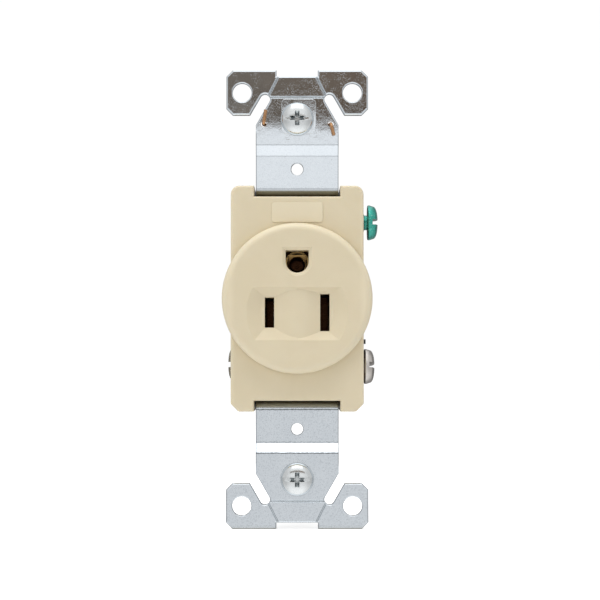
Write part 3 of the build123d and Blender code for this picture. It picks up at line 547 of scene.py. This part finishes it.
# ---- screws --------------------------------------------------------------------------------------
PITCH = 25.4 * MM / 32
THREAD_ROWS = 10             # rows of vertices along one pitch
THREAD_DEPTH = 0.36 * MM
THREAD_SLOPE = 1.35          # over 1 leaves a flat on each crest
TIP_LENGTH = 0.4 * MM


def thread_rows(start, end, radius):
    """Rows of a right-hand thread, 32 turns to the inch, between two distances along the axis.

    It narrows over the tip and gets shallower over the last turn before the neck."""
    count = round((end - start) / PITCH * THREAD_ROWS)

    def at(along):
        limit = min(radius, radius - TIP_LENGTH + along - start)

        def edge(angle):
            phase = (along / PITCH - angle / (2 * math.pi)) % 1.0
            rise = min(1.0, THREAD_SLOPE * (1 - abs(2 * phase - 1)))
            run_out = min(1.0, (end - along) / PITCH)
            return min(limit, radius - THREAD_DEPTH * (1 - rise) * (0.35 + 0.65 * run_out))

        return edge

    places = [start + (end - start) * i / count for i in range(count + 1)]
    return [(along, at(along)) for along in places]


def dome_rows(radius, height, side, fullness, steps=16):
    """Rows of a head: short upright side, then one smooth dome. A fuller dome has a rounder shoulder."""
    rows = [
        (0.0, radius - 0.22 * MM), (0.06 * MM, radius - 0.08 * MM), (0.20 * MM, radius), (side, radius),
    ]
    for i in range(1, steps + 1):
        share = 0.998 * (1 - i / steps) ** 1.4
        rise = (1 - share ** fullness) ** (1 / fullness) if share > 0 else 1.0
        rows.append((side + (height - side) * rise, max(radius * share, 0.02 * MM)))
    return rows


def screw(name, node, body, material, where, axis, turn, head, shank, recess):
    """One screw in place of a CAD node: shank and thread, domed head, and the recess cut into it."""
    neck, neck_length, radius, length = shank
    rows = thread_rows(-length, -neck_length, radius)
    rows += [(-neck_length + 0.06 * MM, neck), (-0.05 * MM, neck)]
    rows += dome_rows(*head)
    thing = linked(name, turned_mesh(name, rows))
    dress(thing, material)
    smooth(thing.data)
    carve(thing, recess(head))
    thing.data.transform(aim(where, axis, turn))
    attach(thing, body)
    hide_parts(node)


def slot_cutter(width, depth, length, top, taper=1.0):
    return prism("cutter", rectangle(length, width), top - depth, top + 1 * MM, taper)


WING_TAPER = 0.42            # size of a cross recess at its bottom, as a share of its top
WELL_TAPER = 0.55
WELL_SHARE = 0.775           # radius of the well, as a share of the wings' width


def cross_cutters(span, width, depth, top):
    """Two crossed wings that narrow towards the bottom, and the slightly deeper well in the middle."""
    high = top + 0.02 * MM
    wing = rectangle(span, width)
    crossed = [(-y, x) for x, y in wing]
    return [
        prism("cutter", wing, top - depth, high, WING_TAPER),
        prism("cutter", crossed, top - depth, high, WING_TAPER),
        prism("cutter", circle(WELL_SHARE * width, 16), top - 1.05 * depth, high, WELL_TAPER),
    ]


def combination_recess(head):
    """Crossed wings over a shallow V-shaped slot."""
    radius, top = head[:2]
    return [
        slot_cutter(1.5 * MM, 0.5 * MM, 6 * radius, top, 0.3),
        *cross_cutters(3.6 * MM, 1.05 * MM, 1.75 * MM, top),
    ]


def slotted_recess(head):
    radius, top = head[:2]
    return [slot_cutter(1.25 * MM, 1.3 * MM, 2.4 * radius, top)]


def cross_recess(head):
    return cross_cutters(3.4 * MM, 1.0 * MM, 1.35 * MM, head[1])


# heads as (radius, height, side, fullness), shanks as (neck radius, neck length, radius, length)
MOUNT_HEAD = (3.82 * MM, 2.1 * MM, 0.35 * MM, 2.3)
TERMINAL_HEAD = (4.15 * MM, 2.45 * MM, 0.5 * MM, 2.8)
ASSEMBLY_HEAD = (2.8 * MM, 1.9 * MM, 0.4 * MM, 2.5)
TERMINAL_SHANK = (1.75 * MM, 0.8 * MM, 2.08 * MM, 7.0 * MM)
ASSEMBLY_SHANK = (1.45 * MM, 1.0 * MM, 1.5 * MM, 23.6 * MM)
MOUNT_NECK_RADIUS = 1.5 * MM
MOUNT_RADIUS = 1.75 * MM
MOUNT_LENGTH = 19 * MM
NECK_END = 5.0 * MM          # y where the mounting screws' necks end
MOUNT_SEATS = {"upper": 1.483 * MM, "lower": 1.3 * MM}   # height of the strap under each head

for place, side in (("upper", 1), ("lower", -1)):
    seat = MOUNT_SEATS[place]
    screw(
        f"{place}_mounting_screw_detail", f"{place}_mounting_screw", f"{place}_screw", "zinc_screw",
        (0, -seat, SCREW_PLACES[f"{place}_screw"][2]), (0, -1, 0), 90,
        MOUNT_HEAD, (MOUNT_NECK_RADIUS, seat + NECK_END, MOUNT_RADIUS, MOUNT_LENGTH), combination_recess,
    )
    screw(
        f"{place}_assembly_screw_detail", f"{place}_assembly_screw", "device", "zinc_screw",
        (0, REAR_Y, side * ASSEMBLY_SCREW_Z), (0, 1, 0), 0,
        ASSEMBLY_HEAD, ASSEMBLY_SHANK, cross_recess,
    )
for name, material, side, turn in (
    ("hot", "brass_screw", -1, 90), ("neutral", "nickel_screw", 1, 82), ("ground", "green_screw", 1, 90),
):
    screw(
        f"{name}_terminal_screw_detail", f"{name}_terminal_screw", f"{name}_screw", material,
        SCREW_PLACES[f"{name}_screw"], (side, 0, 0), turn,
        TERMINAL_HEAD, TERMINAL_SHANK, slotted_recess,
    )


# ---- linings of holes ----------------------------------------------------------------------------
def fixed_detail(thing, material):
    """A piece of the device body, in one of its materials."""
    dress(thing, material)
    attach(thing, "device")


def lining(name, material, z, profile):
    """Closed ring about an axis along Y. The profile runs around it as rows of (y, radius)."""
    thing = linked(name, turned_mesh(name, profile, 72, closed_loop=True))
    smooth(thing.data)
    thing.data.transform(aim((0, 0, z), (0, 1, 0)))
    fixed_detail(thing, material)


THREAD_RADIUS = 1.47 * MM
THREAD_CREST = 0.13 * MM
THREAD_START = -0.06 * MM
THREAD_END = 1.16 * MM
SUNK = 0.11 * MM             # how far the outside of a lining lies inside the metal around it


def tapped_profile(count=22):
    """Inside thread that fades out at both faces of the strap, and its plain outside."""
    def at(share):
        fade = min(1.0, 4 * share, 4 - 4 * share)
        along = share * (THREAD_END - THREAD_START)

        def radius(angle):
            phase = (along / PITCH + angle / (2 * math.pi)) % 1.0
            return THREAD_RADIUS - THREAD_CREST * fade * (1 - abs(2 * phase - 1))

        return radius

    outside = THREAD_RADIUS + SUNK
    rows = [(THREAD_START + SUNK, outside), (THREAD_END - SUNK, outside)]
    for row in range(count):
        share = 1 - row / (count - 1)
        rows.append((THREAD_START + share * (THREAD_END - THREAD_START), at(share)))
    return rows


lining("upper_plate_thread", "zinc_steel", PLATE_SCREW_Z, tapped_profile())
lining("lower_plate_thread", "zinc_steel", -PLATE_SCREW_Z, tapped_profile())

# around the ground socket: its outside, then the inside from the bottom forward, in mm of (y, radius)
SOCKET_PROFILE = (
    (5.35, 2.30), (6.4, 2.30), (9.3, 1.75), (14.8, 1.7), (14.8, 0.02), (13.9, 0.02), (13.9, 0.3),
    (14.4, 0.35), (14.4, 1.5), (9.3, 1.55), (8.0, 1.75), (6.12, 1.88), (6.10, 2.00), (5.72, 2.04),
    (5.70, 2.16), (5.35, 2.20),
)
lining("ground_socket_lips", "contact_brass", PIN_Z, [(y * MM, r * MM) for y, r in SOCKET_PROFILE])


def socket_plate():
    """Upright front plate of the ground socket, with the round way in for the pin."""
    low, high, half = -2.2 * MM, 2.45 * MM, 2.1 * MM
    outline = [(low, -half), (high, -half), (high, half), (low, half)]
    plate = prism("ground_socket_plate", outline, 0, 0.4 * MM)
    carve(plate, [prism("cutter", circle(2.0 * MM), -1 * MM, 1 * MM)])
    plate.data.transform(aim((0, SOCKET_Y, PIN_Z), (0, -1, 0)))
    fixed_detail(plate, "contact_brass")


socket_plate()


# ---- CAD nodes that keep their own shape ---------------------------------------------------------
CARRIED = {
    "face_cover": "ivory_nylon",
    "back_body": "dark_plastic",
    "mounting_strap": "zinc_steel",
    "hot_contact": "contact_brass",
    "neutral_contact": "contact_brass",
    "ground_contact": "contact_brass",
    "ground_rivet": "contact_brass",
    "upper_screw_retainer": "grey_fibre",
    "lower_screw_retainer": "grey_fibre",
    "self_ground_clip": "bronze_wire",
}
for node, material in CARRIED.items():
    dress(NODES[node], material)


# ---- floor, light and camera ---------------------------------------------------------------------
# what reflections see of the studio: (sine of the height above the horizon, brightness)
SKY = ((0.0, 0.70), (0.05, 0.78), (0.10, 0.92), (0.30, 0.85), (0.65, 0.92), (1.0, 0.85))
PANEL_LEVEL = 0.65           # added by the bright panel overhead
SIDE_LEVEL = 0.72            # share that is left far to the side
BEHIND_LEVEL = 0.35          # share that is left behind the part
SOFT_LEVEL = 0.53            # even light on matt surfaces
CAMERA_PLACE = (0.65 * MM, -400 * MM, -12 * MM)
CAMERA_TARGET = (0.65 * MM, -1.3 * MM, -0.31 * MM)


def plane(name, width, height, matrix):
    bm = bmesh.new()
    bmesh.ops.create_grid(bm, x_segments=1, y_segments=1, size=0.5)
    for vert in bm.verts:
        vert.co.x *= width
        vert.co.y *= height
    thing = linked(name, mesh_from(bm, name))
    thing.data.transform(matrix)
    return thing


def mirrored(graph, direction, level):
    """Brightness that reflections see along a direction: less far to the side and behind the part."""
    x, y, _ = graph.axes(direction)
    aside = graph.spread(graph.size(x), 0.30, 0.70, 1.0, SIDE_LEVEL)
    behind = graph.spread(y, 0.0, 0.5, 1.0, BEHIND_LEVEL)
    return graph.maths("MULTIPLY", level, graph.maths("MULTIPLY", aside, behind))


def make_floor():
    """Pale floor. Reflections see it as an even glow, brighter where they look straight down."""
    s = Surface("floor", Roughness=0.9)
    s.feed(s.bsdf.inputs["Base Color"], (0.93, 0.93, 0.93, 1))
    s.feed(s.bsdf.inputs["Emission Color"], (1, 1, 1, 1))
    path = s.node("ShaderNodeLightPath")
    s.feed(s.bsdf.inputs["Emission Strength"], s.spread(path.outputs["Is Camera Ray"], 0, 1, 0.02, 0.60))
    onward = s.node("ShaderNodeVectorMath", operation="SCALE")
    s.feed(onward.inputs[0], s.node("ShaderNodeNewGeometry").outputs["Incoming"])
    onward.inputs["Scale"].default_value = -1.0
    level = s.spread(s.axes(onward.outputs[0])[2], -0.15, -0.60, 0.73, 1.06)
    glow = s.node("ShaderNodeEmission")
    s.feed(glow.inputs["Strength"], mirrored(s, onward.outputs[0], level))
    mixed = s.node("ShaderNodeMixShader")
    s.feed(mixed.inputs[0], path.outputs["Is Glossy Ray"])
    s.feed(mixed.inputs[1], s.bsdf.outputs[0])
    s.feed(mixed.inputs[2], glow.outputs[0])
    s.feed(s.nodes["Material Output"].inputs["Surface"], mixed.outputs[0])
    floor = plane("floor", 6, 6, Matrix.Translation((0, 0, cad_low[2] - 0.0001)))
    floor.data.materials.append(s.material)


def dark_card():
    """Something dark above the camera, which only reflections show."""
    s = Surface("card")
    s.bsdf.inputs["Base Color"].default_value = (0, 0, 0, 1)
    s.bsdf.inputs["Specular IOR Level"].default_value = 0
    across = s.spread(s.axes(s.place)[0], -0.08, 0.08)
    tint = s.mix(across, (0.22, 0.20, 0.175), (0.15, 0.095, 0.060))
    cloud = s.spread(s.noise(38, 4, 0.6), 0.35, 0.65, 0.62, 1.25)
    s.feed(s.bsdf.inputs["Emission Color"], s.mix(1.0, tint, cloud, "MULTIPLY"))
    s.bsdf.inputs["Emission Strength"].default_value = 1.0
    card = plane("card", 0.40, 0.060, aim((0, -0.41, 0.124), (0, 1, 0), 90))
    card.data.materials.append(s.material)
    card.visible_camera = False
    card.visible_diffuse = False
    card.visible_shadow = False


def facing(where, target):
    """Rotation that points a lamp or camera at a place."""
    return (Vector(target) - Vector(where)).to_track_quat("-Z", "Y").to_euler()


def area_light(name, where, target, size, power):
    data = bpy.data.lights.new(name, "AREA")
    data.shape = "RECTANGLE"
    data.size, data.size_y = size
    data.energy = power
    lamp = linked(name, data)
    lamp.location = where
    lamp.visible_glossy = False
    lamp.rotation_euler = facing(where, target)


def make_world():
    """White to the camera, even for soft light, and graded by height for reflections."""
    world = bpy.data.worlds.new("studio")
    bpy.context.scene.world = world
    world.use_nodes = True
    g = Graph(world.node_tree)
    path = g.node("ShaderNodeLightPath")
    direction = g.node("ShaderNodeTexCoord").outputs["Generated"]
    ramp = g.node("ShaderNodeValToRGB")
    g.feed(ramp.inputs["Fac"], g.axes(direction)[2])
    elements = ramp.color_ramp.elements
    while len(elements) < len(SKY):
        elements.new(0.5)
    for element, (height, level) in zip(elements, SKY):
        element.position = height
        element.color = (level, level, level, 1)

    def background(level):
        made = g.node("ShaderNodeBackground")
        g.feed(made.inputs["Strength"], level)
        g.feed(made.inputs["Color"], (1, 1, 1, 1))
        return made

    def choose(ray, otherwise, chosen):
        made = g.node("ShaderNodeMixShader")
        g.feed(made.inputs[0], path.outputs[ray])
        g.feed(made.inputs[1], otherwise.outputs[0])
        g.feed(made.inputs[2], chosen.outputs[0])
        return made

    x, _, z = g.axes(direction)
    panel = g.maths("MULTIPLY", g.spread(z, 0.62, 0.72, 0.0, PANEL_LEVEL), g.spread(g.size(x), 0.42, 0.32))
    level = g.maths("ADD", mirrored(g, direction, ramp.outputs["Color"]), panel)
    mixed = choose("Is Glossy Ray", background(SOFT_LEVEL), background(level))
    mixed = choose("Is Camera Ray", mixed, background(1.02))
    g.feed(g.nodes["World Output"].inputs["Surface"], mixed.outputs[0])


make_floor()
dark_card()
make_world()
MIDDLE = (0, 0, 0)
area_light("top_softbox", (0, -0.10, 0.55), MIDDLE, (0.55, 0.45), 2.4)
area_light("left_softbox", (-0.45, -0.45, 0.30), MIDDLE, (0.35, 0.35), 0.6)

scene = bpy.context.scene
scene.view_settings.view_transform = "Standard"
camera = linked("camera", bpy.data.cameras.new("camera"))
camera.data.lens = 103.46
camera.data.sensor_width = 36
camera.data.clip_start = 0.01
camera.location = CAMERA_PLACE
camera.rotation_euler = facing(CAMERA_PLACE, CAMERA_TARGET)
scene.camera = camera
